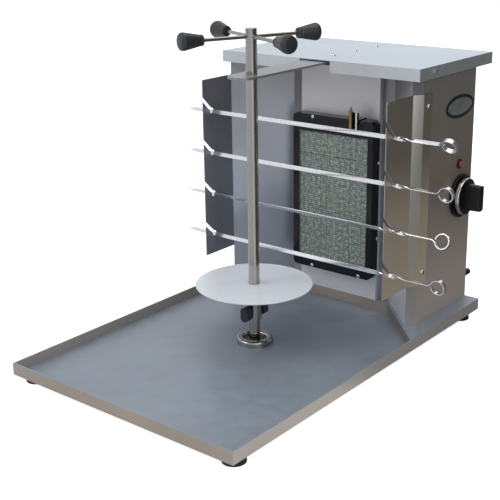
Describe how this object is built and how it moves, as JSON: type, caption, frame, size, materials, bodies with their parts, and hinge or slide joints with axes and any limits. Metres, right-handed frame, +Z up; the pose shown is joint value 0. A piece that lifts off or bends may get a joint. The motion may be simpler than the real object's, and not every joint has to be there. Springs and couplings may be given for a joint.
{
  "type": "gas doner kebab grill",
  "caption": "Table-top gas doner grill: tray with a turning spindle and meat disc, ceramic burner in a reflector housing, slotted wings carrying flat skewers.",
  "frame": {"origin": "on the worktop, below the middle of the tray", "axes": "+Z up, +Y from the open tray towards the burner housing, +X to the gas knob's side"},
  "size_m": [0.61, 0.82, 0.5949],
  "materials": {
    "stainless_satin": "satin brushed stainless sheet",
    "stainless_bright": "polished stainless bar",
    "disc_metal": "fine brushed",
    "screw_steel": "bright zinc",
    "black_enamel": "gloss black enamel",
    "ceramic": "matt porous ceramic",
    "mesh_steel": "heat dulled wire",
    "brass": "turned brass",
    "copper": "drawn copper",
    "mixer_aluminium": "as cast",
    "rubber": "matt black rubber",
    "black_plastic": "moulded black plastic",
    "red_plastic": "moulded red plastic",
    "badge_metal": "bare dark anodised plate"
  },
  "bodies": {
    "grill": {"arm_nuts": "screw_steel", "arm_spacers": "screw_steel", "badge_plate": "badge_metal", "base_tray": "stainless_satin", "burner_chamber": "black_enamel", "burner_frame": "black_enamel", "burner_plate": "stainless_satin", "burner_screws": "screw_steel", "ceramic_tiles": "ceramic", "cup_screws": "screw_steel", "feed_pipe": "copper", "foot_front_left": "rubber", "foot_front_right": "rubber", "foot_rear_left": "rubber", "foot_rear_right": "rubber", "foot_studs": "screw_steel", "gas_inlet": "brass", "gas_valve": "brass", "guard_mesh": "mesh_steel", "hood": "stainless_satin", "hood_side_screws": "screw_steel", "hood_top_screws": "screw_steel", "igniter_body": "black_plastic", "injector": "brass", "knob_bezel": "black_plastic", "left_side_panel": "stainless_satin", "left_wing": "stainless_satin", "mixing_tube": "mixer_aluminium", "pilot_bracket": "black_enamel", "pilot_burner": "brass", "pivot_bush": "brass", "rear_cover": "stainless_satin", "rear_cover_screws": "screw_steel", "reflector": "stainless_satin", "right_side_panel": "stainless_satin", "right_wing": "stainless_satin", "spindle_cup": "stainless_bright", "supply_pipe": "copper", "support_arm": "stainless_satin", "thermocouple": "mesh_steel", "wing_screws": "screw_steel"},
    "spindle": {"spindle": "stainless_bright", "handle_rods": "stainless_bright", "handle_grip_1": "black_plastic", "handle_grip_2": "black_plastic", "handle_grip_3": "black_plastic", "handle_grip_4": "black_plastic"},
    "disc": {"meat_disc": "disc_metal", "disc_collar": "stainless_bright"},
    "clamp_front": {"clamp_knob_front": "black_plastic"},
    "clamp_rear": {"clamp_knob_rear": "black_plastic"},
    "valve_stem": {"valve_stem": "stainless_bright"},
    "control_knob": {"control_knob": "black_plastic", "knob_trim": "stainless_bright"},
    "igniter_button": {"igniter_button": "red_plastic"},
    "skewer_1": {"skewer_1": "stainless_bright"},
    "skewer_2": {"skewer_2": "stainless_bright"},
    "skewer_3": {"skewer_3": "stainless_bright"},
    "skewer_4": {"skewer_4": "stainless_bright"}
  },
  "joints": [
    {"name": "spindle_turn", "type": "hinge", "parent": "grill", "child": "spindle", "pos_m": [0, -0.02, 0.3], "axis": [0, 0, 1], "continuous": true},
    {"name": "disc_height", "type": "slide", "parent": "spindle", "child": "disc", "axis": [0, 0, 1], "range_m": [-0.03, 0.35]},
    {"name": "clamp_front_turn", "type": "hinge", "parent": "disc", "child": "clamp_front", "pos_m": [0, -0.04, 0.08], "axis": [0, -1, 0], "range_deg": [0, 360]},
    {"name": "clamp_rear_turn", "type": "hinge", "parent": "disc", "child": "clamp_rear", "pos_m": [0, 0, 0.08], "axis": [0, 1, 0], "range_deg": [0, 360]},
    {"name": "gas_knob_turn", "type": "hinge", "parent": "grill", "child": "valve_stem", "pos_m": [0.219, 0.34, 0.255], "axis": [1, 0, 0], "range_deg": [0, 180]},
    {"name": "gas_knob_push", "type": "slide", "parent": "valve_stem", "child": "control_knob", "axis": [-1, 0, 0], "range_m": [0, 0.003], "stiffness_N_per_m": 600, "springref_m": -0.003},
    {"name": "igniter_push", "type": "slide", "parent": "grill", "child": "igniter_button", "axis": [-1, 0, 0], "range_m": [0, 0.004], "stiffness_N_per_m": 400, "springref_m": -0.004},
    {"name": "skewer_1_turn", "type": "hinge", "parent": "grill", "child": "skewer_1", "pos_m": [0, 0.11, 0.1553], "axis": [1, 0, 0], "continuous": true},
    {"name": "skewer_2_turn", "type": "hinge", "parent": "grill", "child": "skewer_2", "pos_m": [0, 0.11, 0.2393], "axis": [1, 0, 0], "continuous": true},
    {"name": "skewer_3_turn", "type": "hinge", "parent": "grill", "child": "skewer_3", "pos_m": [0, 0.11, 0.3233], "axis": [1, 0, 0], "continuous": true},
    {"name": "skewer_4_turn", "type": "hinge", "parent": "grill", "child": "skewer_4", "pos_m": [0, 0.11, 0.4073], "axis": [1, 0, 0], "continuous": true}
  ]
}
